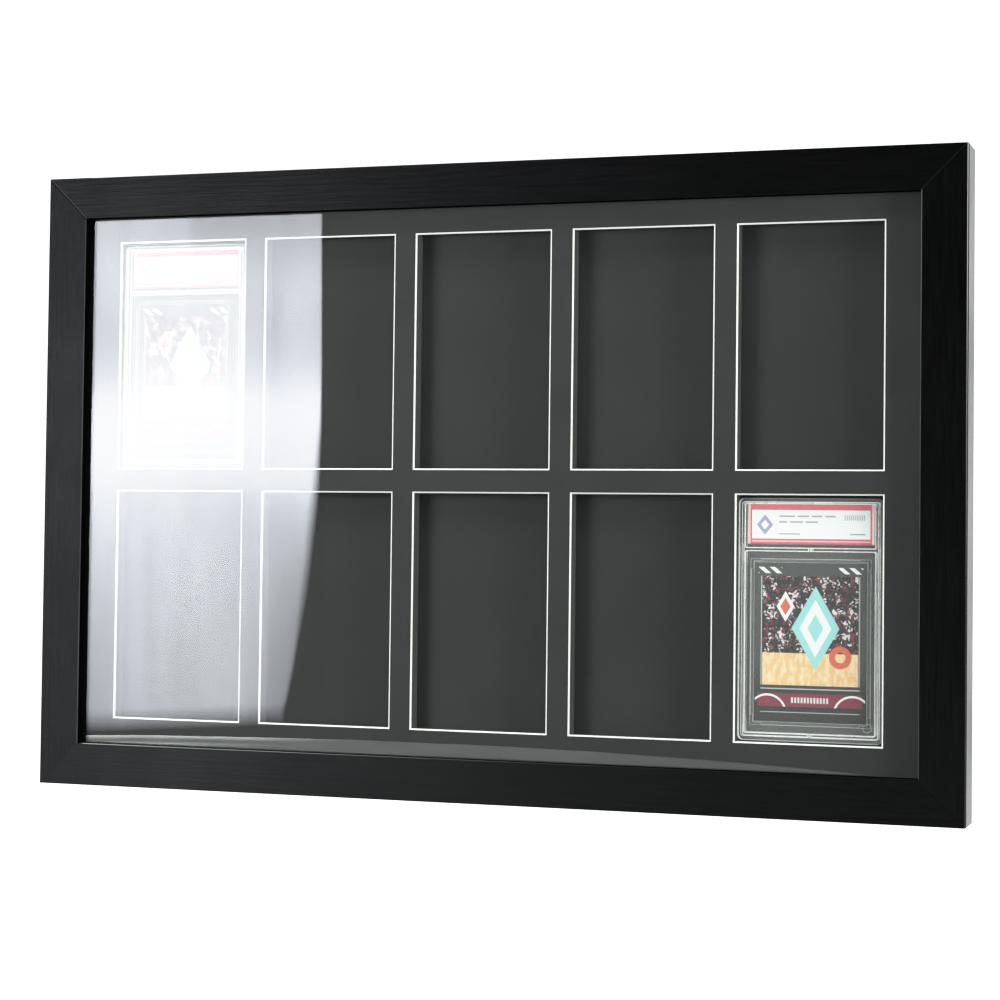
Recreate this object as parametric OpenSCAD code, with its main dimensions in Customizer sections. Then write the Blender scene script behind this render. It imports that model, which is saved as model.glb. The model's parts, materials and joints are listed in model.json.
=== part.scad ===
// Wall display case for graded trading cards: a mitred black frame, a black mat with
// ten bevel-cut windows, a pocketed spacer behind it and a back that lifts off rearwards.
// X is to the right, Y goes back to the wall and Z is up, seen from the front.
// The origin is the middle of the top rail's back face.

/* [Frame] */
// Overall width of the frame
frame_w = 563; // [545:1:620]
// Overall height of the frame
frame_h = 373; // [362:1:420]
// Width of the moulding's flat face
face_w = 25.5; // [24:0.5:30]
// Depth of the moulding from its face to its back
frame_depth = 29; // [27:0.5:40]
// Thickness of the lip in front of the glazing
lip_t = 6; // [5:0.5:9]
// Width of the rabbet behind the lip
rabbet_w = 6; // [4:0.5:7]
// Radius of the moulding's edges
edge_r = 0.6; // [0.4:0.1:1.5]
// Width of the hairline left at each mitre
mitre_gap = 0.1; // [0.05:0.05:0.3]

/* [Mat and windows] */
// Columns of windows
columns = 5; // [1:1:5]
// Width of a window inside its bevel
window_w = 82.5; // [82:0.5:88]
// Height of a window inside its bevel
window_h = 138.2; // [137.6:0.2:144]
// Distance between columns of windows
pitch_x = 96.8; // [93:0.1:102]
// Distance between the two rows of windows
pitch_z = 152.6; // [146:0.1:156]
// How far the windows stand above the middle of the opening
windows_up = 0.55; // [0:0.05:3]
// Thickness of the mat's black face paper
paper_t = 0.2; // [0.1:0.05:0.4]
// Thickness of the mat's white core
core_t = 0.8; // [0.6:0.1:2.4]

/* [Boards] */
// Thickness of the clear glazing
glazing_t = 2.5; // [1.2:0.1:2.5]
// Depth of the pocketed spacer board
spacer_t = 9.7; // [7.5:0.1:10]
// How far each pocket's wall stands back from its window
pocket_back = 0.2; // [0:0.1:1]
// Thickness of the black lining card
lining_t = 1; // [0.5:0.1:1.5]
// Thickness of the back panel
panel_t = 3; // [2.5:0.5:4]
// Gap between a board's edge and the rabbet
board_gap = 1; // [0.5:0.25:1.5]

/* [Card holders] */
// Width of a graded card holder
holder_w = 81.2; // [80:0.2:81.8]
// Height of a graded card holder
holder_h = 135.8; // [135:0.2:136.8]
// Thickness of a graded card holder
holder_t = 5.5; // [5:0.1:6]
// Gap that the foam pads fill behind a holder
pad_gap = 1.5; // [0.5:0.1:2]
// How far a holder sits below the middle of its window
holder_drop = 0.5; // [0:0.1:0.6]

/* [Hangers] */
// Height of the hanger pins below the top of the frame
hanger_down = 92; // [60:1:140]
// Width of a hanger strap
strap_w = 11; // [9:0.5:12]
// Radius of the hanger ring's wire
wire_r = 1.25; // [1:0.05:1.4]

/* [Hidden] */
$fn = 64;
back_w = face_w - rabbet_w;
top_z = back_w / 2;
mid_z = top_z - frame_h / 2;
face_y = -frame_depth;
sight_w = frame_w - 2 * face_w;
sight_h = frame_h - 2 * face_w;
rabbet_open_w = sight_w + 2 * rabbet_w;
rabbet_open_h = sight_h + 2 * rabbet_w;
board_w = rabbet_open_w - 2 * board_gap;
board_h = rabbet_open_h - 2 * board_gap;

// The stack of boards, from the lip to the back
glazing_y = face_y + lip_t;
paper_y = glazing_y + glazing_t;
core_y = paper_y + paper_t;
spacer_y = core_y + core_t;
lining_y = spacer_y + spacer_t;
panel_y = lining_y + lining_t;
panel_back_y = panel_y + panel_t;

rows = 2;
windows_z = mid_z + windows_up;
filled = [[0, 0], [columns - 1, rows - 1]];
cut = 1;

// Corner nails: steel vees pressed across each mitre from the back
nail_leg = 5.5;
nail_t = 0.5;
nail_depth = 10;
nail_set = 0.4;
nail_spread = 38;
nail_steps = [6.5, 14];

// Retaining tabs: flexible steel points in the rabbet's wall
tab_w = 7;
tab_t = 0.4;
tab_in = 8;
tab_out = 9;
tabs_across = 4;
tabs_up = 2;

// Graded card holder
holder_y = lining_y - pad_gap - holder_t;
half_t = holder_t / 2;
holder_top = holder_h / 2;
holder_r = 3;
brim_w = 1.9;
brim_sunk = 0.5;
raised_r = 1.4;

// A ridge frames the card's field and, above it, the label's shallower one
ridge_w = 2.2;
ridge_down = 27.6;
ridge_up = 2.3;
ridge_out_w = holder_w - 2 * brim_w;
ridge_out_h = holder_h - ridge_down - ridge_up;
card_z = (ridge_up - ridge_down) / 2;
field_sunk = 0.9;
field_r = 0.8;
label_field_sunk = 0.3;
label_field_down = 3.2;
label_field_h = ridge_down - label_field_down;
raised_h = holder_h - brim_w - ridge_up;
nick_w = 1;
nick_sunk = 0.25;
gate_r = 2.4;
gate_sunk = 0.1;
gate_in = 4.2;

// The card lies in a stepped clear insert, and the label in a well of its own
card_w = 63.5;
card_h = 88.9;
card_t = 0.35;
insert_steps = [[67.6, 81.8], [64.6, 90.8], [55.7, 93]];
insert_t = 0.38;
insert_gap = 0.15;
insert_well = 0.2;
label_w = 71.5;
label_h = 22.2;
label_t = 0.25;
label_down = 3.3;
label_gap = 0.3;
label_well = 0.15;
label_z = holder_top - label_down - label_h / 2;

// Foam pads behind a holder
pad_side = 12;
pad_x = 24;
pad_z = 40;

// Hanger: a doubled strap rolled round the straight side of a D ring
hanger_x = frame_w / 2 - back_w / 2;
hanger_z = top_z - hanger_down;
strap_t = 0.8;
strap_l = 34;
pin_fit = 0.05;
barrel_r = wire_r + pin_fit + strap_t;
ring_half_w = 7.5;
ring_leg = 6;
ring_lean = 5;
screw_r = 1.5;
screw_core_r = 1.2;
screw_l = 13;
screw_tip = 4;
screw_hole_r = 1.8;
screw_point_r = 0.3;
screw_head_r = 2.9;
screw_head_top_r = 2.2;
screw_head_h = 1.5;
screw_slot_w = 0.7;
screw_slot_l = 3.4;
screw_slot_d = 0.9;
screw_downs = [22, 29];

// Bumper pads on the lower corners' backs
bumper_r = 5;
bumper_t = 3.2;
bumper_edge = 1;
bumper_in = 14;

// A flat drawn in X and Z, pulled back along Y from the plane Y = 0
module pull_back(t) {
    translate([0, t, 0])
        rotate([90, 0, 0])
            linear_extrude(height = t)
                children();
}

module block(w, t, h) {
    translate([-w / 2, 0, -h / 2])
        cube([w, t, h]);
}

module round_flat(w, h, r) {
    square([w - 2 * r, h], center = true);
    square([w, h - 2 * r], center = true);
    for (x = [-1, 1], z = [-1, 1])
        translate([x * (w / 2 - r), z * (h / 2 - r)])
            circle(r);
}

// What is cut off a square corner at the origin to round it to radius r
module corner_cut(r) {
    difference() {
        translate([-cut, -cut])
            square(r + cut);
        translate([r, r])
            circle(r);
    }
}

// Moulding section: u runs in from the outer side, v runs back from the face
module rail_section() {
    difference() {
        square([face_w, frame_depth]);
        translate([back_w, lip_t])
            square([rabbet_w + cut, frame_depth]);
        corner_cut(edge_r);
        translate([face_w, 0])
            mirror([1, 0])
                corner_cut(edge_r);
        translate([0, frame_depth])
            mirror([0, 1])
                corner_cut(edge_r / 2);
    }
}

// One rail along X, its outer side at Z = 0 and its face at Y = 0, mitred at both ends
module rail(length) {
    trim = mitre_gap / sqrt(2);
    outer = length / 2 - trim;
    inner = outer - face_w;
    intersection() {
        translate([-length / 2, 0, 0])
            rotate([0, 90, 0])
                linear_extrude(height = length)
                    rail_section();
        translate([0, -cut, 0])
            pull_back(frame_depth + 2 * cut)
                polygon([
                    [-outer - cut, cut],
                    [outer + cut, cut],
                    [inner - cut, -face_w - cut],
                    [-inner + cut, -face_w - cut]
                ]);
    }
}

// Puts a rail at a side of the frame: 0 top, 90 right, 180 bottom, 270 left
module at_side(turn) {
    reach = turn % 180 == 0 ? frame_h / 2 : frame_w / 2;
    translate([0, 0, mid_z])
        rotate([0, turn, 0])
            translate([0, 0, reach])
                children();
}

// One vee across a mitre, reaching back to Y = l
module corner_nail(l) {
    pull_back(l)
        for (side = [-1, 1])
            rotate(side * nail_spread)
                translate([0, -nail_t / 2])
                    square([nail_leg, nail_t]);
}

module nails_all(l) {
    for (x = [-1, 1], z = [-1, 1], step = nail_steps)
        translate([x * (frame_w / 2 - step), -nail_depth - nail_set, mid_z + z * (frame_h / 2 - step)])
            rotate([0, -atan2(-z, -x), 0])
                corner_nail(l);
}

// One tab lying on the panel's back, its root in the rail whose outer side is at Z = 0
module tab() {
    tip = tab_w / 2;
    translate([0, 0, -back_w])
        pull_back(tab_t)
            union() {
                translate([-tip, -tab_out + tip])
                    square([tab_w, tab_in + tab_out - tip]);
                translate([0, -tab_out + tip])
                    circle(tip);
            }
}

module tabs_all() {
    step_x = board_w / tabs_across;
    step_z = board_h / tabs_up;
    translate([0, panel_back_y, 0]) {
        for (turn = [0, 180], i = [0 : tabs_across - 1])
            at_side(turn)
                translate([(i - (tabs_across - 1) / 2) * step_x, 0, 0])
                    tab();
        for (turn = [90, 270], i = [0 : tabs_up - 1])
            at_side(turn)
                translate([(i - (tabs_up - 1) / 2) * step_z, 0, 0])
                    tab();
    }
}

module pilot_holes() {
    for (x = [-1, 1], down = screw_downs)
        translate([x * hanger_x, cut, hanger_z - down])
            rotate([90, 0, 0])
                cylinder(r = screw_core_r, h = screw_l + cut);
}

module placed_rail(turn) {
    color([0.06, 0.06, 0.06])
        difference() {
            translate([0, face_y, 0])
                at_side(turn)
                    rail(turn % 180 == 0 ? frame_w : frame_h);
            nails_all(nail_depth + nail_set + cut);
            tabs_all();
            if (turn % 180 == 90)
                pilot_holes();
        }
}

module rail_top() {
    placed_rail(0);
}

module rail_bottom() {
    placed_rail(180);
}

module rail_left() {
    placed_rail(270);
}

module rail_right() {
    placed_rail(90);
}

module corner_nails() {
    color([0.62, 0.62, 0.6])
        nails_all(nail_depth);
}

module glazing() {
    color([0.85, 0.9, 0.92, 0.25])
        translate([0, glazing_y, mid_z])
            block(board_w, glazing_t, board_h);
}

module at_window(column, row) {
    translate([
        (column - (columns - 1) / 2) * pitch_x,
        0,
        windows_z + ((rows - 1) / 2 - row) * pitch_z
    ])
        children();
}

// A straight side of a window's bevelled hole, w wide inside and widening to the front
module bevel_sides(w, h) {
    front = paper_t + core_t;
    translate([0, 0, -h / 2])
        linear_extrude(height = h)
            polygon([
                [-w / 2 - front - cut, -cut],
                [w / 2 + front + cut, -cut],
                [w / 2 - cut, front + cut],
                [-w / 2 + cut, front + cut]
            ]);
}

module window_hole() {
    tall = window_h + 4 * (paper_t + core_t + cut);
    wide = window_w + 4 * (paper_t + core_t + cut);
    translate([0, paper_y, 0])
        intersection() {
            bevel_sides(window_w, tall);
            rotate([0, 90, 0])
                bevel_sides(window_h, wide);
        }
}

module mat_layer(y, t) {
    difference() {
        translate([0, y, mid_z])
            block(board_w, t, board_h);
        for (column = [0 : columns - 1], row = [0 : rows - 1])
            at_window(column, row)
                window_hole();
    }
}

module mat_face() {
    color([0.16, 0.17, 0.16])
        mat_layer(paper_y, paper_t);
}

module mat_core() {
    color([0.95, 0.95, 0.92])
        mat_layer(core_y, core_t);
}

module pocket_spacer() {
    color([0.1, 0.1, 0.1])
        difference() {
            translate([0, spacer_y, mid_z])
                block(board_w, spacer_t, board_h);
            for (column = [0 : columns - 1], row = [0 : rows - 1])
                at_window(column, row)
                    translate([0, spacer_y - cut, 0])
                        block(window_w + 2 * pocket_back, spacer_t + 2 * cut, window_h + 2 * pocket_back);
        }
}

module lining_card() {
    color([0.14, 0.14, 0.14])
        translate([0, lining_y, mid_z])
            block(board_w, lining_t, board_h);
}

module back_panel() {
    color([0.45, 0.33, 0.22])
        translate([0, panel_y, mid_z])
            block(board_w, panel_t, board_h);
}

module retaining_tabs() {
    color([0.3, 0.3, 0.31])
        tabs_all();
}

module at_holder(which) {
    at_window(filled[which][0], filled[which][1])
        translate([0, holder_y, -holder_drop])
            children();
}

// A rounded flat w by h, from the depth y down to the holder's parting face
module holder_layer(w, h, r, y) {
    translate([0, y, 0])
        pull_back(half_t - y)
            round_flat(w, h, r);
}

// What is sunk into a half from its outer side
module sunk(w, h, r, depth) {
    translate([0, -cut, 0])
        pull_back(depth + cut)
            round_flat(w, h, r);
}

// Half of a holder, its outer side at Y = 0 and its parting face at Y = half_t
module holder_half() {
    field_w = ridge_out_w - 2 * ridge_w;
    field_h = ridge_out_h - 2 * ridge_w;
    insert_w = insert_steps[0][0] + 2 * insert_gap;
    insert_h = insert_steps[2][1] + 2 * insert_gap;
    difference() {
        union() {
            holder_layer(holder_w, holder_h, holder_r, brim_sunk);
            translate([0, 0, (ridge_up - brim_w) / 2])
                holder_layer(ridge_out_w, raised_h, raised_r, 0);
        }
        translate([0, 0, holder_top - label_field_down - label_field_h / 2])
            sunk(field_w, label_field_h, field_r, label_field_sunk);
        translate([0, 0, card_z]) {
            sunk(field_w, field_h, field_r, field_sunk);
            for (z = [-1, 1])
                translate([0, -cut, z * (ridge_out_h - ridge_w) / 2])
                    block(nick_w, nick_sunk + cut, ridge_w + cut);
            translate([field_w / 2 - gate_in, field_sunk + gate_sunk, -field_h / 2 + gate_in])
                rotate([90, 0, 0])
                    cylinder(r = gate_r, h = field_sunk);
            translate([0, half_t - insert_well, 0])
                block(insert_w, insert_well + cut, insert_h);
        }
        translate([0, half_t - label_well, label_z])
            block(label_w + 2 * label_gap, label_well + cut, label_h + 2 * label_gap);
    }
}

module front_shell(which) {
    color([0.85, 0.9, 0.9, 0.3])
        at_holder(which)
            holder_half();
}

module back_shell(which) {
    color([0.8, 0.86, 0.86, 0.3])
        at_holder(which)
            translate([0, holder_t, 0])
                mirror([0, 1, 0])
                    holder_half();
}

// Thin clear frame that centres the card between the shells
module card_insert(which) {
    color([0.75, 0.8, 0.8, 0.4])
        at_holder(which)
            translate([0, half_t - insert_t / 2, card_z])
                pull_back(insert_t)
                    difference() {
                        for (step = insert_steps)
                            square(step, center = true);
                        square([card_w + 2 * insert_gap, card_h + 2 * insert_gap], center = true);
                    }
}

module card(which) {
    color([0.35, 0.12, 0.15])
        at_holder(which)
            translate([0, half_t - card_t / 2, card_z])
                block(card_w, card_t, card_h);
}

module label(which) {
    color([0.85, 0.2, 0.25])
        at_holder(which)
            translate([0, half_t - label_t / 2, label_z])
                block(label_w, label_t, label_h);
}

// Four foam squares between the holder's recessed back and the lining card
module pads(which) {
    color([0.2, 0.2, 0.2])
        at_holder(which)
            for (x = [-1, 1], z = [-1, 1])
                translate([x * pad_x, holder_t - field_sunk, card_z + z * pad_z])
                    block(pad_side, field_sunk + pad_gap, pad_side);
}

module at_hanger(side) {
    translate([side * hanger_x, 0, hanger_z])
        children();
}

module hanger_strap(side) {
    color([0.7, 0.68, 0.62])
        at_hanger(side)
            difference() {
                union() {
                    translate([0, 0, -strap_l / 2])
                        block(strap_w, strap_t, strap_l);
                    translate([0, strap_t, -strap_l / 2 - barrel_r / 2])
                        block(strap_w, strap_t, strap_l - barrel_r);
                    translate([-strap_w / 2, barrel_r, 0])
                        rotate([0, 90, 0])
                            cylinder(r = barrel_r, h = strap_w);
                }
                translate([-strap_w, barrel_r, 0])
                    rotate([0, 90, 0])
                        cylinder(r = wire_r + pin_fit, h = 2 * strap_w);
                for (down = screw_downs)
                    translate([0, 2 * strap_t + cut, -down])
                        rotate([90, 0, 0])
                            cylinder(r = screw_hole_r, h = 2 * strap_t + 2 * cut);
            }
}

// D ring hanging from its straight side, which is the hinge pin
module hanger_ring(side) {
    color([0.75, 0.74, 0.7])
        at_hanger(side)
            translate([0, barrel_r, 0])
                rotate([ring_lean, 0, 0])
                    union() {
                        translate([-ring_half_w, 0, 0])
                            rotate([0, 90, 0])
                                cylinder(r = wire_r, h = 2 * ring_half_w);
                        for (x = [-1, 1]) {
                            translate([x * ring_half_w, 0, 0])
                                sphere(r = wire_r);
                            translate([x * ring_half_w, 0, -ring_leg])
                                cylinder(r = wire_r, h = ring_leg);
                        }
                        translate([0, 0, -ring_leg])
                            rotate([-90, 0, 0])
                                rotate_extrude(angle = 180)
                                    translate([ring_half_w, 0])
                                        circle(wire_r);
                    }
}

// Pan-head wood screw pointing forwards, the underside of its head at Y = 0
module wood_screw() {
    difference() {
        union() {
            rotate([90, 0, 0])
                cylinder(r = screw_r, h = screw_l - screw_tip);
            translate([0, -(screw_l - screw_tip), 0])
                rotate([90, 0, 0])
                    cylinder(r1 = screw_r, r2 = screw_point_r, h = screw_tip);
            rotate([-90, 0, 0])
                cylinder(r1 = screw_head_r, r2 = screw_head_top_r, h = screw_head_h);
        }
        translate([0, screw_head_h - screw_slot_d, 0]) {
            block(screw_slot_l, screw_slot_d + cut, screw_slot_w);
            block(screw_slot_w, screw_slot_d + cut, screw_slot_l);
        }
    }
}

module hanger_screws(side) {
    color([0.8, 0.78, 0.6])
        at_hanger(side)
            for (down = screw_downs)
                translate([0, 2 * strap_t, -down])
                    wood_screw();
}

module wall_bumpers() {
    color([0.12, 0.12, 0.12])
        for (x = [-1, 1])
            translate([x * (frame_w / 2 - back_w / 2), 0, top_z - frame_h + bumper_in])
                rotate([-90, 0, 0]) {
                    cylinder(r = bumper_r, h = bumper_t - bumper_edge);
                    translate([0, 0, bumper_t - bumper_edge])
                        cylinder(r1 = bumper_r, r2 = bumper_r - bumper_edge, h = bumper_edge);
                }
}

rail_top();
rail_bottom();
rail_left();
rail_right();
corner_nails();
glazing();
mat_face();
mat_core();
pocket_spacer();
lining_card();
back_panel();
retaining_tabs();
front_shell(0);  // holder_a_front_shell
back_shell(0);  // holder_a_back_shell
card_insert(0);  // holder_a_insert
card(0);  // holder_a_card
label(0);  // holder_a_label
pads(0);  // holder_a_pads
front_shell(1);  // holder_b_front_shell
back_shell(1);  // holder_b_back_shell
card_insert(1);  // holder_b_insert
card(1);  // holder_b_card
label(1);  // holder_b_label
pads(1);  // holder_b_pads
hanger_strap(-1);  // hanger_left_strap
hanger_ring(-1);  // hanger_left_ring
hanger_screws(-1);  // hanger_left_screws
hanger_strap(1);  // hanger_right_strap
hanger_ring(1);  // hanger_right_ring
hanger_screws(1);  // hanger_right_screws
wall_bumpers();
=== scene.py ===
import json
import math

import bmesh
import bpy
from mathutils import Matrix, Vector

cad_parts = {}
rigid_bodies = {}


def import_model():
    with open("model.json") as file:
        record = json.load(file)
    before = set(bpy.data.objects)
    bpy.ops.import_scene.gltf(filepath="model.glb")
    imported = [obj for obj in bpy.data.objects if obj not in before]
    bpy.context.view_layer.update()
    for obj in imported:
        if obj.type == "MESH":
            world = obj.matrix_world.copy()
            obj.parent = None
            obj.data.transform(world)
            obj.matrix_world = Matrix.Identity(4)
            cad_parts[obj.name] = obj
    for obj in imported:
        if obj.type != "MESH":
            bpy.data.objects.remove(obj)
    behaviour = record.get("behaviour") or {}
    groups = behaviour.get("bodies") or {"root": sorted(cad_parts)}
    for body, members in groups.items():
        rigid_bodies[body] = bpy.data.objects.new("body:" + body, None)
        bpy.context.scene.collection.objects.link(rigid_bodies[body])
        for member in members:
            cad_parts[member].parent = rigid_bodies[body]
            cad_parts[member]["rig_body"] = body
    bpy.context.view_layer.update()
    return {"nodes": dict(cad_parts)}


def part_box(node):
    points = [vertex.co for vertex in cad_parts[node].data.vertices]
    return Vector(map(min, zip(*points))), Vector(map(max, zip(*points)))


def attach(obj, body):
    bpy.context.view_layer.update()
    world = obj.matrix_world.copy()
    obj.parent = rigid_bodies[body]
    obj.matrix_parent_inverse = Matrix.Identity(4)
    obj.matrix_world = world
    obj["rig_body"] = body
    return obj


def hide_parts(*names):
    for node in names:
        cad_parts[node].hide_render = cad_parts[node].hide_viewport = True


mm = 0.001
touch = 1e-6        # metres within which two places are the same

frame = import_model()
nodes = frame["nodes"]
scene = bpy.context.scene
print("frame:", len(nodes), "nodes")


# Node helpers: a value that is a socket is linked, any other is set

def addNode(tree, kind, inputs=None, **settings):
    node = tree.nodes.new("ShaderNode" + kind)
    for name, value in settings.items():
        setattr(node, name, value)
    for name, value in (inputs or {}).items():
        if isinstance(value, bpy.types.NodeSocket):
            tree.links.new(value, node.inputs[name])
        else:
            node.inputs[name].default_value = value
    return node


def calc(tree, operation, *values):
    return addNode(tree, "Math", dict(enumerate(values)), operation=operation).outputs[0]


def times(tree, first, second):
    return calc(tree, "MULTIPLY", first, second)


def between(tree, value, low, high, toLow=0.0, toHigh=1.0):
    inputs = {"Value": value, "From Min": low, "From Max": high, "To Min": toLow, "To Max": toHigh}
    return addNode(tree, "MapRange", inputs).outputs[0]


def mixed(tree, share, first, second):
    node = addNode(tree, "Mix", {0: share, 6: first, 7: second}, data_type="RGBA")
    return node.outputs[2]


def rgb(colour):
    return (*colour, 1.0)


def noise(tree, vector, scale, detail=4.0, rough=0.55):
    inputs = {"Vector": vector, "Scale": scale, "Detail": detail, "Roughness": rough}
    return addNode(tree, "TexNoise", inputs).outputs["Fac"]


def objectPlace(tree):
    return addNode(tree, "TexCoord").outputs["Object"]


def along(tree, axis):
    return addNode(tree, "SeparateXYZ", {"Vector": objectPlace(tree)}).outputs[axis]


def stretched(tree, scale, place=None):
    inputs = {"Vector": objectPlace(tree) if place is None else place, "Scale": scale}
    return addNode(tree, "Mapping", inputs).outputs["Vector"]


def emboss(tree, shader, height, strength, depth):
    bump = addNode(tree, "Bump", {"Strength": strength, "Distance": depth * mm, "Height": height})
    tree.links.new(bump.outputs[0], shader.inputs["Normal"])


def newMaterial(name):
    material = bpy.data.materials.new(name)
    material.use_nodes = True
    tree = material.node_tree
    return material, tree, tree.nodes["Principled BSDF"]


pattern = {
    "grainNoise": (6.0, 0.6),       # detail and roughness
    "patchDetail": 3.0,
    "colourSpan": (0.35, 0.65),     # noise levels at which the one colour and the other are reached
    "glossSpan": (0.3, 0.7),
    "smearSpan": (0.35, 0.7),
    "specular": 0.4,                # where a look gives none
}


# Most finishes: two close colours in patches, a grain for colour and relief, and an uneven gloss
def finish(name, look):
    material, tree, shader = newMaterial(name)
    grain = noise(tree, stretched(tree, look["grain"]), 1.0, *pattern["grainNoise"])
    patches = noise(tree, objectPlace(tree), look["patch"], pattern["patchDetail"])
    share = look["grainShare"]
    spread = calc(tree, "MULTIPLY_ADD", grain, share, times(tree, patches, 1 - share))
    first, second = look["colours"]
    colour = mixed(tree, between(tree, spread, *pattern["colourSpan"]), rgb(first), rgb(second))
    gloss = between(tree, patches, *pattern["glossSpan"], *look["rough"])
    tree.links.new(colour, shader.inputs["Base Color"])
    tree.links.new(gloss, shader.inputs["Roughness"])
    emboss(tree, shader, grain, look["relief"], look["depth"])
    shader.inputs["Metallic"].default_value = look.get("metal", 0.0)
    shader.inputs["Specular IOR Level"].default_value = look.get("specular", pattern["specular"])
    return material


# Clear sheet or moulding: lamps shine through it, so what lies behind is lit
def clearFinish(name, look):
    material, tree, shader = newMaterial(name)
    smears = noise(tree, stretched(tree, look["grain"]), 1.0, pattern["patchDetail"])
    gloss = between(tree, smears, *pattern["smearSpan"], *look["rough"])
    tree.links.new(gloss, shader.inputs["Roughness"])
    shader.inputs["Base Color"].default_value = rgb(look["colour"])
    shader.inputs["Transmission Weight"].default_value = look["clear"]
    shader.inputs["IOR"].default_value = look["ior"]
    shadowRay = addNode(tree, "LightPath").outputs["Is Shadow Ray"]
    through = addNode(tree, "BsdfTransparent", {"Color": rgb(look["shine"])})
    either = addNode(tree, "MixShader", {0: shadowRay, 1: shader.outputs[0], 2: through.outputs[0]})
    tree.links.new(either.outputs[0], tree.nodes["Material Output"].inputs["Surface"])
    return material


def dress(nodeName, *materials):
    slots = nodes[nodeName].data.materials
    slots.clear()
    for material in materials:
        slots.append(material)


softening = {
    "flat": math.radians(0.5),      # faces that turn by less than this become one
    "smooth": math.radians(33),     # edges that turn by less than this are shaded smooth
    "sharp": math.radians(40),      # edges that turn by more than this are broken
}


# A welded copy of a CAD node with its sharp edges broken, which stands for the node
# Without a look for its edges they stay as they are, since the rails' arrises are round already
def softened(nodeName, edges, materials, pick=None):
    mesh = bpy.data.meshes.new(nodeName + "_soft")
    bm = bmesh.new()
    bm.from_mesh(nodes[nodeName].data)
    bmesh.ops.remove_doubles(bm, verts=bm.verts, dist=touch)
    bmesh.ops.dissolve_limit(bm, angle_limit=softening["flat"], verts=bm.verts, edges=bm.edges)
    for face in bm.faces:
        face.material_index = 0
    if pick:
        pick(bm)
    if edges:
        turn = edges.get("turn", softening["sharp"])
        sharp = [e for e in bm.edges if e.is_manifold and e.calc_face_angle() > turn]
        bmesh.ops.bevel(bm, geom=sharp, offset=edges["bevel"] * mm, segments=edges["segments"],
                        affect="EDGES", profile=0.5, material=edges.get("slot", -1), clamp_overlap=True)
    for face in bm.faces:
        face.smooth = True
    for edge in bm.edges:
        edge.smooth = edge.is_manifold and edge.calc_face_angle() < softening["smooth"]
    bm.to_mesh(mesh)
    bm.free()
    piece = bpy.data.objects.new(nodeName + "_soft", mesh)
    scene.collection.objects.link(piece)
    for material in materials:
        mesh.materials.append(material)
    normals = piece.modifiers.new("evenNormals", "WEIGHTED_NORMAL")
    normals.keep_sharp = True
    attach(piece, nodes[nodeName]["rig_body"])
    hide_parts(nodeName)
    return piece


# Moulding: satin black film embossed with a fine grain that runs along each rail
# Its inner walls are matt, and its arrises and a strip beside the top mitres are painted paler as a painted
# highlight, which fades where less light falls

film = {
    "face": {
        "colours": ((0.0007, 0.0008, 0.00085), (0.0018, 0.002, 0.0021)),
        "rough": (0.3, 0.38),
        "specular": 0.11,
    },
    "wall": {
        "colours": ((0.0007, 0.0008, 0.00085), (0.0018, 0.002, 0.0021)),
        "rough": (0.8, 0.95),
        "specular": 0.0,
    },
    # Painted highlight: the arrises are coloured paler than the face
    "arris": {
        "colours": ((0.035, 0.037, 0.038), (0.06, 0.063, 0.064)),
        "rough": (0.3, 0.45),
        "specular": 0.35,
    },
    "fibre": (24.0, 480.0, 3.0),    # grain cycles a metre along and across a rail, and detail
    "pore": (90.0, 2000.0, 2.0),
    "poreShare": 0.35,
    "colourSpan": (0.4, 0.62),
    "relief": 0.7,
    "depth": 0.3,
    "worn": (14.0, 3.0),            # cycles a metre and detail of the gloss
    "seam": (0.8, 4.8),             # matt strip down the outer sides, behind the face
    "mitreStrip": 0.5,              # painted highlight strip beside the top mitres, and a dark one across the left of them
    "mitreArea": 300.0,             # a mitre is larger than this, and its nail slots' walls are smaller
    "mitreTurn": 0.6,               # its normal points at least this far along both X and Z
    "wallTurn": 0.9,                # a wall's at least this far along one of them
    "innerTurn": 0.1,               # an inner face's, times the metres to the opening's middle, is over this
    "arrisTurn": (-0.95, -0.3),     # and an arris's between these along Y
}

# Painted highlights on the arrises and mitre strips: along which axis each goes, from where it is unpainted
# to where it is palest, and how steeply
paintedHighlights = {
    "across": {
        "axis": "X",
        "span": (0.25, -0.25),
        "power": 3.0,
        "colours": ((0.0018, 0.002, 0.0021), (0.3, 0.31, 0.31)),
        "stop": (-0.2535, -0.2515),     # unpainted again beyond this
    },
    "right": {
        "axis": "Z",
        "span": (-0.27, -0.02),
        "power": 1.7,
        "colours": ((0.009, 0.0095, 0.0095), (0.27, 0.28, 0.28)),
    },
    "mitre": {
        "axis": "X",
        "span": (0.28, -0.28),
        "power": 1.0,
        "colours": ((0.006, 0.0065, 0.0065), (0.018, 0.019, 0.019)),
    },
}


def lengthwise(tree, axis, grain):
    onward, across, detail = grain
    scale = [onward if i == axis else across for i in range(3)]
    return noise(tree, stretched(tree, scale), 1.0, detail)


def paintedHighlightColour(tree, highlight):
    place = along(tree, highlight["axis"])
    share = calc(tree, "POWER", between(tree, place, *highlight["span"]), highlight["power"])
    if "stop" in highlight:
        share = times(tree, share, between(tree, place, *highlight["stop"]))
    plainColour, pale = highlight["colours"]
    return mixed(tree, share, rgb(plainColour), rgb(pale))


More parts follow.
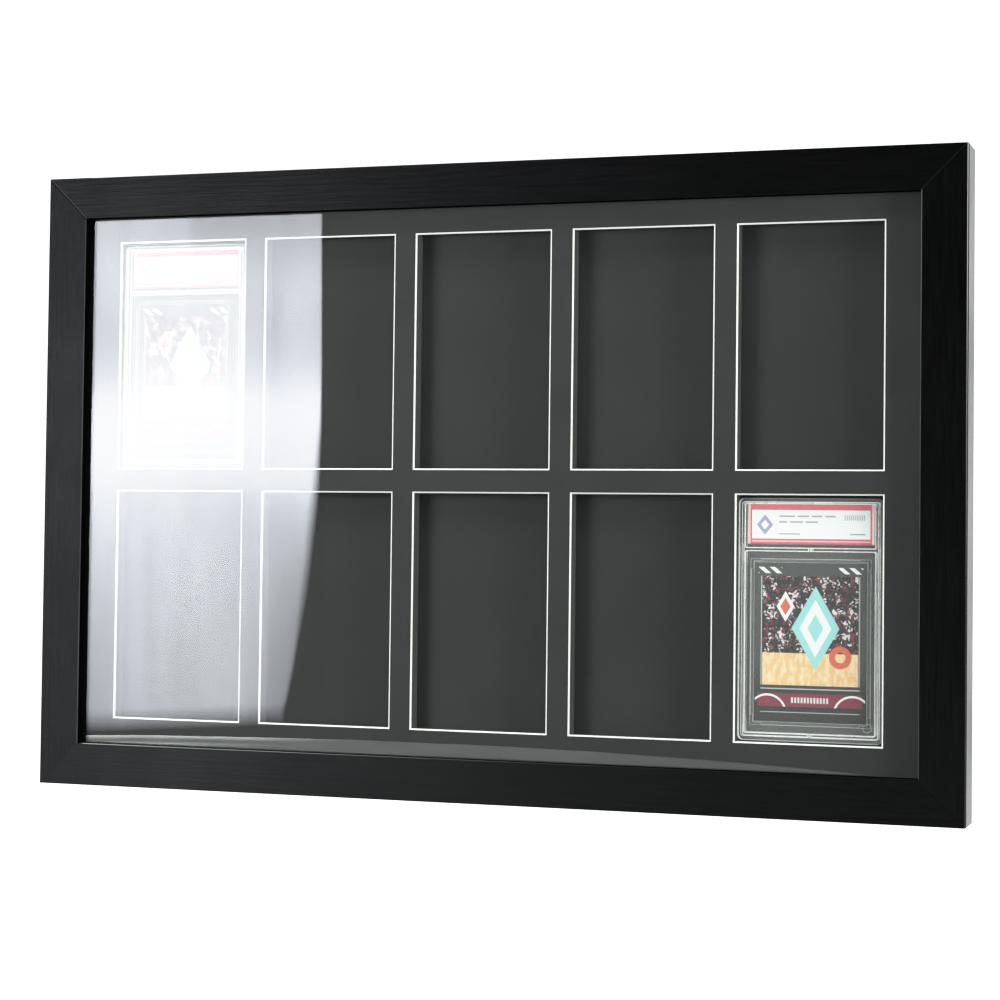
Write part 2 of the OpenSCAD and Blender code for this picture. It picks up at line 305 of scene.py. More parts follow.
def railFilm(part, axis, highlight=None):
    look = film[part]
    material, tree, shader = newMaterial("_".join(("film", highlight or part, "across" if axis == 0 else "up")))
    fibre = lengthwise(tree, axis, film["fibre"])
    pore = lengthwise(tree, axis, film["pore"])
    height = calc(tree, "MULTIPLY_ADD", pore, film["poreShare"], times(tree, fibre, 1 - film["poreShare"]))
    if highlight:
        colour = paintedHighlightColour(tree, paintedHighlights[highlight])
    else:
        first, second = look["colours"]
        colour = mixed(tree, between(tree, height, *film["colourSpan"]), rgb(first), rgb(second))
    worn = noise(tree, objectPlace(tree), *film["worn"])
    gloss = between(tree, worn, *pattern["glossSpan"], *look["rough"])
    tree.links.new(colour, shader.inputs["Base Color"])
    tree.links.new(gloss, shader.inputs["Roughness"])
    emboss(tree, shader, height, film["relief"], film["depth"])
    shader.inputs["Specular IOR Level"].default_value = look["specular"]
    return material


def cutThrough(bm, place, outward):
    everything = bm.verts[:] + bm.edges[:] + bm.faces[:]
    bmesh.ops.bisect_plane(bm, geom=everything, plane_co=place, plane_no=outward)
    bm.normal_update()


# Slot 0 is the face, 1 the matt walls, and 2 the arrises, or the inner ones where the outer have a slot
def pickRail(bm, outerSlot=2):
    low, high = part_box("glazing")
    middle = (low + high) / 2
    front = min(v.co.y for v in bm.verts)
    start, end = (front + depth * mm for depth in film["seam"])
    for cut in (start, end):
        cutThrough(bm, (0, cut, 0), (0, 1, 0))
    foremost, rearmost = film["arrisTurn"]
    for face in bm.faces:
        inward = middle - face.calc_center_median()
        inward.y = 0
        isWall = max(abs(face.normal.x), abs(face.normal.z)) > film["wallTurn"]
        isInner = face.normal.dot(inward) > film["innerTurn"]
        isSeam = start < face.calc_center_median().y < end
        facesDown = face.normal.z <= rearmost
        if isWall and (isInner or isSeam):
            face.material_index = 1
        elif foremost < face.normal.y < rearmost and not facesDown:
            face.material_index = 2 if isInner else outerSlot


def isMitre(face):
    return min(abs(face.normal.x), abs(face.normal.z)) > film["mitreTurn"]


# Marks off a strip of the face beside each mitre that faces up, or down
def stripByMitres(bm, upper, slot):
    ends = [(f.calc_center_median().copy(), f.normal.copy()) for f in bm.faces
            if isMitre(f) and (f.normal.z > 0) == upper and f.calc_area() > film["mitreArea"] * mm ** 2]
    for place, outward in ends:
        cut = place - film["mitreStrip"] * mm * outward
        cutThrough(bm, cut, outward)
        for face in bm.faces:
            isFront = face.normal.y < film["arrisTurn"][1]
            if isFront and (face.calc_center_median() - cut).dot(outward) > 0:
                face.material_index = slot


def pickTopRail(bm):
    pickRail(bm)
    stripByMitres(bm, False, 3)


def pickLeftRail(bm):
    pickRail(bm)
    stripByMitres(bm, True, 1)


def pickRightRail(bm):
    pickRail(bm, 3)


acrossFilm = [railFilm("face", 0), railFilm("wall", 0), railFilm("arris", 0, "across")]
topFilm = acrossFilm + [railFilm("face", 0, "mitre")]
upFilm = [railFilm("face", 2), railFilm("wall", 2), railFilm("arris", 2)]
rightFilm = upFilm + [railFilm("arris", 2, "right")]
rails = {
    "rail_top": (topFilm, pickTopRail),
    "rail_bottom": (acrossFilm, pickRail),
    "rail_left": (upFilm, pickLeftRail),
    "rail_right": (rightFilm, pickRightRail),
}
for nodeName, (materials, pick) in rails.items():
    softened(nodeName, None, materials, pick)
print("moulding done")


# Boards: clear glazing, black-faced mat with a white core, black spacer and lining, brown panel

glass = {
    "colour": (0.985, 1.0, 0.99),
    "shine": (1.0, 1.0, 1.0),
    "clear": 1.0,
    "ior": 1.49,
    "rough": (0.0, 0.004),
    "grain": (3.0, 3.0, 3.0),
    "clearance": 0.04,
    "edge": {"bevel": 0.2, "segments": 1},
}


# The pane's back face stands a hair off the mat, so the two don't share a plane
def pickPane(bm):
    high = max(v.co.y for v in bm.verts)
    for vert in bm.verts:
        if high - vert.co.y < touch:
            vert.co.y -= glass["clearance"] * mm


pane = softened("glazing", glass["edge"], [clearFinish("clearGlazing", glass)], pickPane)

matPaper = {
    "colours": ((0.034, 0.0365, 0.0355), (0.041, 0.0435, 0.0425)),
    "grain": (2200.0, 2200.0, 2200.0),
    "grainShare": 0.5,
    "patch": 30.0,
    "rough": (0.85, 0.95),
    "relief": 0.15,
    "depth": 0.02,
    "specular": 0.15,
    "covered": 5.0,             # how much of its edge the moulding hides
    "paintedShadow": (2.2, 2.9),      # painted shadow along the left lip: black up to the first width from the sight edge, fading into the paper by the second
    "dark": (0.005, 0.005, 0.005),
}
matFinish = finish("matPaper", matPaper)
tree = matFinish.node_tree
shader = tree.nodes["Principled BSDF"]
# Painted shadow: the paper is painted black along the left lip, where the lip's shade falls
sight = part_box("glazing")[0].x + matPaper["covered"] * mm
start, end = (sight + width * mm for width in matPaper["paintedShadow"])
pastPaintedShadow = between(tree, along(tree, "X"), start, end)
paper = shader.inputs["Base Color"].links[0].from_socket
tree.links.new(mixed(tree, pastPaintedShadow, rgb(matPaper["dark"]), paper), shader.inputs["Base Color"])
dress("mat_face", matFinish)

coreCard = {
    "colours": ((0.93, 0.93, 0.91), (0.97, 0.97, 0.95)),
    "grain": (500.0, 3000.0, 500.0),
    "grainShare": 0.5,
    "patch": 60.0,
    "rough": (0.85, 0.95),
    "relief": 0.1,
    "depth": 0.03,
    "specular": 0.1,
}
dress("mat_core", finish("matCore", coreCard))

spacerBoard = {
    "colours": ((0.05, 0.052, 0.05), (0.068, 0.07, 0.068)),
    "grain": (300.0, 1500.0, 300.0),
    "grainShare": 0.6,
    "patch": 40.0,
    "rough": (0.8, 0.95),
    "relief": 0.3,
    "depth": 0.06,
    "specular": 0.15,
}
dress("pocket_spacer", finish("spacerBoard", spacerBoard))

liningCard = {
    "colours": ((0.032, 0.0345, 0.0335), (0.038, 0.0405, 0.0395)),
    "grain": (2400.0, 2400.0, 2400.0),
    "grainShare": 0.55,
    "patch": 25.0,
    "rough": (0.85, 0.95),
    "relief": 0.12,
    "depth": 0.02,
    "specular": 0.15,
}
dress("lining_card", finish("liningCard", liningCard))

hardboard = {
    "colours": ((0.11, 0.062, 0.034), (0.19, 0.115, 0.066)),
    "grain": (420.0, 420.0, 420.0),
    "grainShare": 0.65,
    "patch": 9.0,
    "rough": (0.42, 0.6),
    "relief": 0.25,
    "depth": 0.08,
    "specular": 0.4,
    "edge": {"bevel": 0.3, "segments": 2},
}
panel = softened("back_panel", hardboard["edge"], [finish("hardboard", hardboard)])
print("boards done")


# Graded card holders: clear shells whose ridge and edges are paler, a painted highlight standing in for the
# light a moulding's edges pipe

plastic = {
    "clearLook": {
        "colour": (0.93, 0.95, 0.94),
        "shine": (1.0, 1.0, 1.0),
        "clear": 0.966,
        "ior": 1.05,
        "rough": (0.01, 0.05),
        "grain": (20.0, 20.0, 20.0),
    },
    # The edges' paler, less clear finish is a painted highlight
    "edgeLook": {
        "colour": (0.93, 0.95, 0.94),
        "shine": (1.0, 1.0, 1.0),
        "clear": 0.3,
        "ior": 1.49,
        "rough": (0.2, 0.35),
        "grain": (60.0, 60.0, 60.0),
    },
    "shellEdge": {"bevel": 0.09, "segments": 1, "slot": 1},
    "insertEdge": {"bevel": 0.1, "segments": 1, "slot": 1},
    "wallTurn": 0.5,        # a wall's normal points less than this far along Y
    "rim": 0.5,             # painted highlight line along each side of the ridge's top
    "hairline": 0.02,       # half of the gap at the parting line
}
clearPlastic = clearFinish("holderPlastic", plastic["clearLook"])
paintedEdgeLight = clearFinish("holderEdge", plastic["edgeLook"])


# Slot 0 is the flats and 1 the walls
def pickWalls(bm):
    for face in bm.faces:
        face.material_index = 1 if abs(face.normal.y) < plastic["wallTurn"] else 0


# The rims of the ridge get the walls' pale finish, a painted highlight
def pickShell(bm):
    low = min(v.co.y for v in bm.verts)
    high = max(v.co.y for v in bm.verts)
    front = sum(f.calc_area() for f in bm.faces if abs(f.calc_center_median().y - low) < touch)
    back = sum(f.calc_area() for f in bm.faces if abs(f.calc_center_median().y - high) < touch)
    outer, parting = (low, high) if front < back else (high, low)
    pickWalls(bm)
    ridge = [f for f in bm.faces if abs(f.calc_center_median().y - outer) < touch]
    rims = bmesh.ops.inset_region(bm, faces=ridge, thickness=plastic["rim"] * mm, depth=0.0,
                                  use_boundary=True, use_even_offset=True)["faces"]
    for face in rims:
        face.material_index = 1
    for vert in bm.verts:
        if abs(vert.co.y - parting) < touch:
            vert.co.y += math.copysign(plastic["hairline"] * mm, outer - parting)


for which in "ab":
    for part in ("front_shell", "back_shell"):
        shell = softened(f"holder_{which}_{part}", plastic["shellEdge"], [clearPlastic, paintedEdgeLight], pickShell)
    insert = softened(f"holder_{which}_insert", plastic["insertEdge"], [clearPlastic, paintedEdgeLight], pickWalls)
print("holders done")


# Printed card and label: plain shapes of the photographed colours, in millimetres from the piece's middle

def fromMiddle(tree, nodeName):
    low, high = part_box(nodeName)
    centre = (low + high) / 2
    shift = {"Vector": objectPlace(tree), "Location": -centre / mm, "Scale": (1 / mm,) * 3}
    moved = addNode(tree, "Mapping", shift).outputs["Vector"]
    parts = addNode(tree, "SeparateXYZ", {"Vector": moved})
    return moved, parts.outputs["X"], parts.outputs["Z"]


def boxMask(tree, u, v, left, right, low, high):
    across = calc(tree, "COMPARE", u, (left + right) / 2, (right - left) / 2)
    up = calc(tree, "COMPARE", v, (low + high) / 2, (high - low) / 2)
    return times(tree, across, up)


def diamondMask(tree, u, v, x, z, width, height):
    across = calc(tree, "ABSOLUTE", calc(tree, "SUBTRACT", u, x))
    up = calc(tree, "ABSOLUTE", calc(tree, "SUBTRACT", v, z))
    reach = calc(tree, "MULTIPLY_ADD", across, 2 / width, times(tree, up, 2 / height))
    return calc(tree, "LESS_THAN", reach, 1.0)


def ringMask(tree, u, v, x, z, radius, width):
    across = calc(tree, "SUBTRACT", u, x)
    up = calc(tree, "SUBTRACT", v, z)
    squared = calc(tree, "MULTIPLY_ADD", across, across, times(tree, up, up))
    return calc(tree, "COMPARE", calc(tree, "SQRT", squared), radius, width / 2)


def more(tree, value, limit):
    return calc(tree, "GREATER_THAN", value, limit)


# A pattern's noise is given by scale and detail, a box by left, right, low and high
cardArt = {
    "border": (0.05, 0.054, 0.053),
    "borderLow": (0.016, 0.017, 0.018),
    "borderGain": 1.25,             # the border's second colour against its first
    "borderMottle": (0.5, 4.0),
    "borderFade": (-10.0, -30.0),   # heights between which the border darkens
    "field": (0.012, 0.011, 0.014),
    "fieldBox": (-27, 27, -24, 37),
    "horizon": -6.0,                # the field is speckled above it, and a pale band below
    "maroon": (0.2, 0.022, 0.042),
    "blots": (0.35, 3.0),
    "blotLevel": 0.57,
    "speck": (0.72, 0.7, 0.7),
    "specks": (0.75, 3.0),
    "clumps": (0.16, 2.0),
    "speckLevel": 1.12,
    "tan": (0.78, 0.5, 0.24),
    "tanPale": (0.88, 0.68, 0.42),
    "streaks": (0.6, 5.0),
    "streakStretch": (0.6, 1.0, 0.3),
    "streakSpan": (0.42, 0.6),
    "teal": (0.32, 0.66, 0.66),
    "pale": (0.86, 0.9, 0.88),
    "rust": (0.62, 0.13, 0.07),
    "lozenges": (                   # middle, width, height and colour
        (3, 8, 27, 47, "teal"),
        (3, 8, 18, 32, "pale"),
        (3, 8, 9, 16, "teal"),
        (-14, 20, 10, 17, "pale"),
        (-14, 20, 6, 10, "rust"),
    ),
    "ring": (17, -8, 4.6, 3.4),     # middle, radius and width
    "slants": ((-29.5, -16, 38.5, 42), (16, 29.5, 38.5, 42)),
    "slantLean": 1.2,
    "slantPitch": (3.2, 1.7),       # half a pitch, and how much of it is gap
    "footer": (-29.5, 29.5, -36, -28.5),
    "arcs": ((-24, -40, 10.5, 1.1), (24, -40, 10.5, 1.1)),
    "arcBox": (-31, 31, -36, -28.5),
    "ticks": (-11, 11, -33.8, -30.7),
    "tickPitch": (0.9, 0.35),
    "line": (0.5, 0.52, 0.5),
    "lines": (
        (-28, 28, -26.3, -25.7),
        (-28, 28, -39.3, -38.9),
        (-27.9, -27.4, -24, 37),
        (27.4, 27.9, -24, 37),
    ),
    "rough": 0.28,
    "specular": 0.32,
    "unevenness": (3.0, 2.0),
    "relief": (0.05, 0.02),         # strength and depth
}


def cardPrint(name, nodeName):
    material, tree, shader = newMaterial(name)
    at, u, v = fromMiddle(tree, nodeName)
    border = cardArt["border"]
    mottle = noise(tree, at, *cardArt["borderMottle"])
    colour = mixed(tree, mottle, rgb(border), rgb([cardArt["borderGain"] * c for c in border]))
    colour = mixed(tree, between(tree, v, *cardArt["borderFade"]), colour, rgb(cardArt["borderLow"]))

    def paint(under, mask, pigment):
        return mixed(tree, mask, under, rgb(cardArt[pigment]))

    # Speckled dark field, above a pale streaked band
    field = boxMask(tree, u, v, *cardArt["fieldBox"])
    upper = times(tree, field, more(tree, v, cardArt["horizon"]))
    lower = times(tree, field, calc(tree, "LESS_THAN", v, cardArt["horizon"]))
    colour = paint(colour, field, "field")
    blots = more(tree, noise(tree, at, *cardArt["blots"]), cardArt["blotLevel"])
    colour = paint(colour, times(tree, upper, blots), "maroon")
    clumped = calc(tree, "ADD", noise(tree, at, *cardArt["clumps"]), noise(tree, at, *cardArt["specks"]))
    colour = paint(colour, times(tree, upper, more(tree, clumped, cardArt["speckLevel"])), "speck")
    streaks = noise(tree, stretched(tree, cardArt["streakStretch"], at), *cardArt["streaks"])
    share = between(tree, streaks, *cardArt["streakSpan"])
    colour = mixed(tree, lower, colour, mixed(tree, share, rgb(cardArt["tan"]), rgb(cardArt["tanPale"])))

    # Stacked lozenges, a rust ring and slanted bars
    for x, z, width, height, pigment in cardArt["lozenges"]:
        colour = paint(colour, times(tree, field, diamondMask(tree, u, v, x, z, width, height)), pigment)
    colour = paint(colour, ringMask(tree, u, v, *cardArt["ring"]), "rust")
    leant = calc(tree, "ADD", u, times(tree, v, cardArt["slantLean"]))
    reach, gap = cardArt["slantPitch"]
    slant = more(tree, calc(tree, "PINGPONG", leant, reach), gap)
    for box in cardArt["slants"]:
        colour = paint(colour, times(tree, boxMask(tree, u, v, *box), slant), "pale")

    # Footer: a maroon strip with pale arcs and ticks, and thin lines round the whole
    colour = paint(colour, boxMask(tree, u, v, *cardArt["footer"]), "maroon")
    arcBox = boxMask(tree, u, v, *cardArt["arcBox"])
    for arc in cardArt["arcs"]:
        colour = paint(colour, times(tree, arcBox, ringMask(tree, u, v, *arc)), "pale")
    reach, gap = cardArt["tickPitch"]
    ticks = more(tree, calc(tree, "PINGPONG", u, reach), gap)
    colour = paint(colour, times(tree, boxMask(tree, u, v, *cardArt["ticks"]), ticks), "speck")
    for box in cardArt["lines"]:
        colour = paint(colour, boxMask(tree, u, v, *box), "line")
    tree.links.new(colour, shader.inputs["Base Color"])
    shader.inputs["Roughness"].default_value = cardArt["rough"]
    shader.inputs["Specular IOR Level"].default_value = cardArt["specular"]
    emboss(tree, shader, noise(tree, at, *cardArt["unevenness"]), *cardArt["relief"])
    return material


labelArt = {
    "border": (0.62, 0.075, 0.11),
    "borderPale": (0.72, 0.2, 0.24),
    "borderMottle": (0.8, 3.0),
    "rim": (0.84, 0.62, 0.63),
    "rimGap": 0.9,                         # from the white field to the rims at both ends
    "band": (-9.9, -9.3),                  # paler strip in the lower border
    "paper": (0.86, 0.9, 0.9),
    "edges": (-33.4, 33.4, -8.2, 7.9),     # left, right, low and high of the white field
    "bar": (0.36, 0.39, 0.39),
    "bars": (                              # low, high, and where each starts and ends
        (3.9, 4.9, ((-18, -9), (-7.5, -1), (0.5, 6.5), (8, 14))),
        (0.7, 1.7, ((-18, -13.5), (-12, -4.5), (-3, 4))),
        (-5.9, -5.1, ((-18, -6), (22, 30.5))),
    ),
    "ink": (0.3, 0.33, 0.33),
    "ticks": (19, 30.5, 2.2, 5.2),
    "tickPitch": (0.6, 0.26),              # half a pitch, and how much of it is ink
    "patch": (0.32, 0.34, 0.46),
    "diamonds": ((-26, -0.4, 9.5, 11.5, "patch"), (-26, -0.4, 4.5, 5.5, "paper")),
    "rough": 0.45,
    "specular": 0.3,
    "unevenness": (4.0, 3.0),
    "relief": (0.1, 0.03),
}


def labelPrint(name, nodeName):
    material, tree, shader = newMaterial(name)
    at, u, v = fromMiddle(tree, nodeName)
    mottle = noise(tree, at, *labelArt["borderMottle"])
    colour = mixed(tree, mottle, rgb(labelArt["border"]), rgb(labelArt["borderPale"]))

    def paint(under, mask, pigment):
        return mixed(tree, mask, under, rgb(labelArt[pigment]))

    left, right = labelArt["edges"][:2]
    # Partly the label's pale edge and partly a painted highlight from the insert's rim: a pale pink strip
    # down each side
    sides = more(tree, calc(tree, "ABSOLUTE", u), right + labelArt["rimGap"])
    colour = paint(colour, sides, "rim")
    colour = paint(colour, boxMask(tree, u, v, left, right, *labelArt["band"]), "rim")
    colour = paint(colour, boxMask(tree, u, v, *labelArt["edges"]), "paper")
    for low, high, spans in labelArt["bars"]:
        for start, end in spans:
            colour = paint(colour, boxMask(tree, u, v, start, end, low, high), "bar")
    reach, inked = labelArt["tickPitch"]
    ticks = calc(tree, "LESS_THAN", calc(tree, "PINGPONG", u, reach), inked)
    colour = paint(colour, times(tree, boxMask(tree, u, v, *labelArt["ticks"]), ticks), "ink")
    for x, z, width, height, pigment in labelArt["diamonds"]:
        colour = paint(colour, diamondMask(tree, u, v, x, z, width, height), pigment)
    tree.links.new(colour, shader.inputs["Base Color"])
    shader.inputs["Roughness"].default_value = labelArt["rough"]
    shader.inputs["Specular IOR Level"].default_value = labelArt["specular"]
    emboss(tree, shader, noise(tree, at, *labelArt["unevenness"]), *labelArt["relief"])
    return material


for which in "ab":
    dress(f"holder_{which}_card", cardPrint("cardPrint_" + which, f"holder_{which}_card"))
    dress(f"holder_{which}_label", labelPrint("labelPrint_" + which, f"holder_{which}_label"))
print("prints done")


# Foam pads: squeezed between holder and lining, so their sides bulge

foam = {
    "side": 12.0,
    "bulge": 0.45,
    "clear": 0.05,          # left in front and behind
    "corner": 0.9,
    "cornerSteps": 4,
    "bulgeCuts": 5,
    "flatTurn": 0.9,        # a face that points at least this far along Y is shaded flat
    "colours": ((0.035, 0.035, 0.036), (0.075, 0.075, 0.075)),
    "grain": (2600.0, 2600.0, 2600.0),
    "grainShare": 0.75,
    "patch": 300.0,
    "rough": (0.85, 0.98),
    "relief": 0.8,
    "depth": 0.15,
    "specular": 0.1,
}


def isUpright(edge):
    run = edge.verts[0].co - edge.verts[1].co
    return max(abs(run.x), abs(run.z)) < touch


def addPad(bm, place, reach, thick):
    cube = bmesh.ops.create_cube(bm, size=1.0)["verts"]
    bmesh.ops.scale(bm, vec=(2 * reach, thick, 2 * reach), verts=cube)
    bmesh.ops.translate(bm, vec=place, verts=cube)
    upright = dict.fromkeys(e for v in cube for e in v.link_edges if isUpright(e))
    bmesh.ops.bevel(bm, geom=list(upright), offset=foam["corner"] * mm, segments=foam["cornerSteps"],
                    affect="EDGES", profile=0.5, material=-1, clamp_overlap=True)


foamFinish = finish("foam", foam)
for which in "ab":
    low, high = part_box(f"holder_{which}_pads")
    middle = (low + high) / 2
    half = foam["side"] * mm / 2
    reach = half - foam["bulge"] * mm
    thick = high.y - low.y - 2 * foam["clear"] * mm
    bm = bmesh.new()
    for x in (low.x + half, high.x - half):
        for z in (low.z + half, high.z - half):
            addPad(bm, (x, middle.y, z), reach, thick)
    through = [e for e in bm.edges if abs(e.verts[0].co.y - e.verts[1].co.y) > thick / 2]
    bmesh.ops.subdivide_edges(bm, edges=through, cuts=foam["bulgeCuts"], use_grid_fill=True)
    for vert in bm.verts:
        swell = 1 - (2 * (vert.co.y - middle.y) / thick) ** 2
        for axis in (0, 2):
            pad = low[axis] + half if vert.co[axis] < middle[axis] else high[axis] - half
            vert.co[axis] += swell * foam["bulge"] * mm * (vert.co[axis] - pad) / reach
    for face in bm.faces:
        face.smooth = abs(face.normal.y) < foam["flatTurn"]
    mesh = bpy.data.meshes.new(f"holder_{which}_foam")
    bm.to_mesh(mesh)
    bm.free()
    mesh.materials.append(foamFinish)
    pads = bpy.data.objects.new(f"holder_{which}_foam", mesh)
    scene.collection.objects.link(pads)
    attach(pads, "back")
    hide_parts(f"holder_{which}_pads")
print("foam pads done")


# Hardware

nickel = {
    "colours": ((0.5, 0.48, 0.44), (0.62, 0.6, 0.55)),
    "grain": (500.0, 500.0, 90.0),
    "grainShare": 0.5,
    "patch": 120.0,
    "rough": (0.22, 0.42),
    "relief": 0.12,
    "depth": 0.03,
    "metal": 1.0,
}
ringSteel = dict(nickel, colours=((0.56, 0.54, 0.5), (0.68, 0.66, 0.62)), rough=(0.14, 0.3))
zinc = dict(nickel, colours=((0.5, 0.48, 0.36), (0.62, 0.6, 0.5)), rough=(0.28, 0.45))
blued = dict(nickel, colours=((0.12, 0.12, 0.13), (0.2, 0.2, 0.21)), rough=(0.35, 0.55))
darkSteel = dict(nickel, colours=((0.1, 0.1, 0.105), (0.17, 0.17, 0.17)), rough=(0.4, 0.6))
rubber = {
    "colours": ((0.02, 0.02, 0.02), (0.035, 0.035, 0.034)),
    "grain": (1500.0, 1500.0, 1500.0),
    "grainShare": 0.6,
    "patch": 200.0,
    "rough": (0.6, 0.8),
    "relief": 0.4,
    "depth": 0.04,
}
hardware = {        # finish and its look, bevel, and slot
    "hanger_left_strap": ("nickel", nickel, 0.15, "hanger_steel"),
    "hanger_right_strap": ("nickel", nickel, 0.15, "hanger_steel"),
    "hanger_left_ring": ("ringSteel", ringSteel, 0.05, "ring_steel"),
    "hanger_right_ring": ("ringSteel", ringSteel, 0.05, "ring_steel"),
    "hanger_left_screws": ("zinc", zinc, 0.08, "screw_steel"),
    "hanger_right_screws": ("zinc", zinc, 0.08, "screw_steel"),
    "retaining_tabs": ("darkSteel", darkSteel, 0.06, "tab_steel"),
    "corner_nails": ("blued", blued, 0.05, "nail_steel"),
    "wall_bumpers": ("rubber", rubber, 0.3, "bumper_rubber"),
}
hardwareEdge = {"turn": math.radians(33), "segments": 2}
made = {}
for nodeName, (finishName, look, width, slotName) in hardware.items():
    if finishName not in made:
        made[finishName] = finish(finishName, look)
    piece = softened(nodeName, dict(hardwareEdge, bevel=width), [made[finishName]])
print("hardware done")


# Camera at the photographed angle

camera = {
    "place": (0.45664, -1.36396, -0.20807),
    "turn": (91.9629, -0.689, 18.9574),
    "lens": 87.551,
    "sensor": 36.0,
    "shift": (0.0279, -0.0478),
}
cameraData = bpy.data.cameras.new("camera")
cameraData.lens = camera["lens"]
cameraData.sensor_width = camera["sensor"]
cameraData.shift_x, cameraData.shift_y = camera["shift"]
cameraPiece = bpy.data.objects.new("camera", cameraData)
cameraPiece.location = camera["place"]
cameraPiece.rotation_euler = [math.radians(a) for a in camera["turn"]]
scene.collection.objects.link(cameraPiece)
scene.camera = cameraPiece
scene.view_settings.view_transform = "Standard"

# A photograph's highlights roll off: levels under the knee stay, and those above ease up to white
rollOff = {"white": 1.5, "points": ((0.7, 0.7), (0.9, 0.87), (1.15, 0.965))}       # level, and how it shows
scene.view_settings.use_curve_mapping = True
tones = scene.view_settings.curve_mapping
tones.white_level = (rollOff["white"],) * 3
tone = tones.curves[3]
for level, shown in rollOff["points"]:
    tone.points.new(level / rollOff["white"], shown)
for point in tone.points[:2]:
    point.handle_type = "VECTOR"
tones.update()


# Studio: white behind the object, dim in front of it so the glazing stays clear, and a soft light all round

studio = {
    "white": 1.5,                   # what the camera sees
    "dim": 0.03,                    # what a mirror sees in front, and behind
    "behind": 0.8,
    "turnsWhite": (-0.2, 0.2),      # between the two, as a direction's share along Y
    "glow": (0.85, 0.97, 1.6),      # brighter straight behind, from and to such a share
    "ambient": 0.56,                # what a matt surface sees
    "tint": (0.97, 1.0, 0.985),
}
world = bpy.data.worlds.new("studio")
world.use_nodes = True
scene.world = world
tree = world.node_tree
rays = addNode(tree, "LightPath").outputs
sky = addNode(tree, "TexCoord").outputs["Generated"]
rearward = addNode(tree, "SeparateXYZ", {"Vector": sky}).outputs["Y"]
mirrored = between(tree, rearward, *studio["turnsWhite"], studio["dim"], studio["behind"])
glowLow, glowHigh, glowLevel = studio["glow"]
mirrored = calc(tree, "ADD", mirrored, between(tree, rearward, glowLow, glowHigh, 0.0, glowLevel))
scattered = calc(tree, "GREATER_THAN", rays["Diffuse Depth"], 0.5)
level = addNode(tree, "Mix", {0: scattered, 2: mirrored, 3: studio["ambient"]}).outputs[0]
level = addNode(tree, "Mix", {0: rays["Is Camera Ray"], 2: level, 3: studio["white"]}).outputs[0]
background = tree.nodes["Background"]
tree.links.new(level, background.inputs["Strength"])
tree.links.new(mixed(tree, scattered, rgb((1.0, 1.0, 1.0)), rgb(studio["tint"])), background.inputs["Color"])
world.cycles.sampling_method = "NONE"      # so that each ray reads its own level

lights = {
    "keyLight": {"place": (-0.68, -0.74, -0.08), "power": 13.0},
    "fillLight": {"place": (1.45, -0.42, -0.12), "power": 23.7},
    "topLight": {"place": (0.1, -0.6, 1.0), "power": 9.3},
}
lampLook = {"aim": (0.0, -0.02, -0.18), "size": 0.5, "tint": (1.0, 1.0, 0.99)}
for name, look in lights.items():
    lampData = bpy.data.lights.new(name, "AREA")
    lampData.shape = "DISK"
    lampData.size = lampLook["size"]
    lampData.energy = look["power"]
    lampData.color = lampLook["tint"]
    lamp = bpy.data.objects.new(name, lampData)
    lamp.location = look["place"]
    aim = Vector(lampLook["aim"]) - Vector(look["place"])
    lamp.rotation_euler = aim.to_track_quat("-Z", "Y").to_euler()
    lamp.visible_glossy = False
    lamp.visible_transmission = False
    scene.collection.objects.link(lamp)


def stagePiece(name, outline, material):
    bm = bmesh.new()
    bm.faces.new([bm.verts.new(p) for p in outline])
    mesh = bpy.data.meshes.new(name)
    bm.to_mesh(mesh)
    bm.free()
    mesh.materials.append(material)
    piece = bpy.data.objects.new(name, mesh)
    scene.collection.objects.link(piece)
    return piece


# Pale floor, well below the hung case
floor = {
    "height": -0.85,
    "reach": 9.0,
    "colour": (0.92, 0.92, 0.92),
    "mottle": (3.0, 3.0, 3.0),
    "mottleGain": 0.98,
    "rough": 0.9,
    "glow": 1.3,            # for the camera alone
}
material, tree, shader = newMaterial("floor")
mottle = noise(tree, stretched(tree, floor["mottle"]), 1.0, 3.0)
colour = mixed(tree, mottle, rgb(floor["colour"]), rgb([c * floor["mottleGain"] for c in floor["colour"]]))
tree.links.new(colour, shader.inputs["Base Color"])
shader.inputs["Roughness"].default_value = floor["rough"]
shader.inputs["Emission Color"].default_value = rgb(floor["colour"])
seen = times(tree, addNode(tree, "LightPath").outputs["Is Camera Ray"], floor["glow"])
tree.links.new(seen, shader.inputs["Emission Strength"])
reach = floor["reach"]
corners = ((-reach, -reach), (reach, -reach), (reach, reach), (-reach, reach))
floorPiece = stagePiece("floor", [(x, y, floor["height"]) for x, y in corners], material)
floorPiece.visible_glossy = False
floorPiece.visible_transmission = False


# What the glazing mirrors: a bright window on the left, and a pale table edge low down in front
# Each curve is a row of places and the values there

def curveOf(tree, value, points):
    places = [place for place, level in points]
    levels = [level for place, level in points]
    start, reach = places[0], places[-1] - places[0]
    low, rise = min(levels), max(levels) - min(levels)
    curve = addNode(tree, "FloatCurve", {"Value": between(tree, value, start, places[-1])})
    line = curve.mapping.curves[0]
    for place, level in points[1:-1]:
        line.points.new((place - start) / reach, (level - low) / rise)
    for end in (0, -1):
        line.points[end].location.y = (levels[end] - low) / rise
    curve.mapping.update()
    return between(tree, curve.outputs[0], 0.0, 1.0, low, max(levels))


def mirroredOnly(piece):
    piece.visible_camera = False
    piece.visible_diffuse = False
    piece.visible_volume_scatter = False
    piece.visible_shadow = False


def glowing(name):
    material = bpy.data.materials.new(name)
    material.use_nodes = True
    tree = material.node_tree
    tree.nodes.remove(tree.nodes["Principled BSDF"])
    return material, tree, along(tree, "X"), along(tree, "Z")


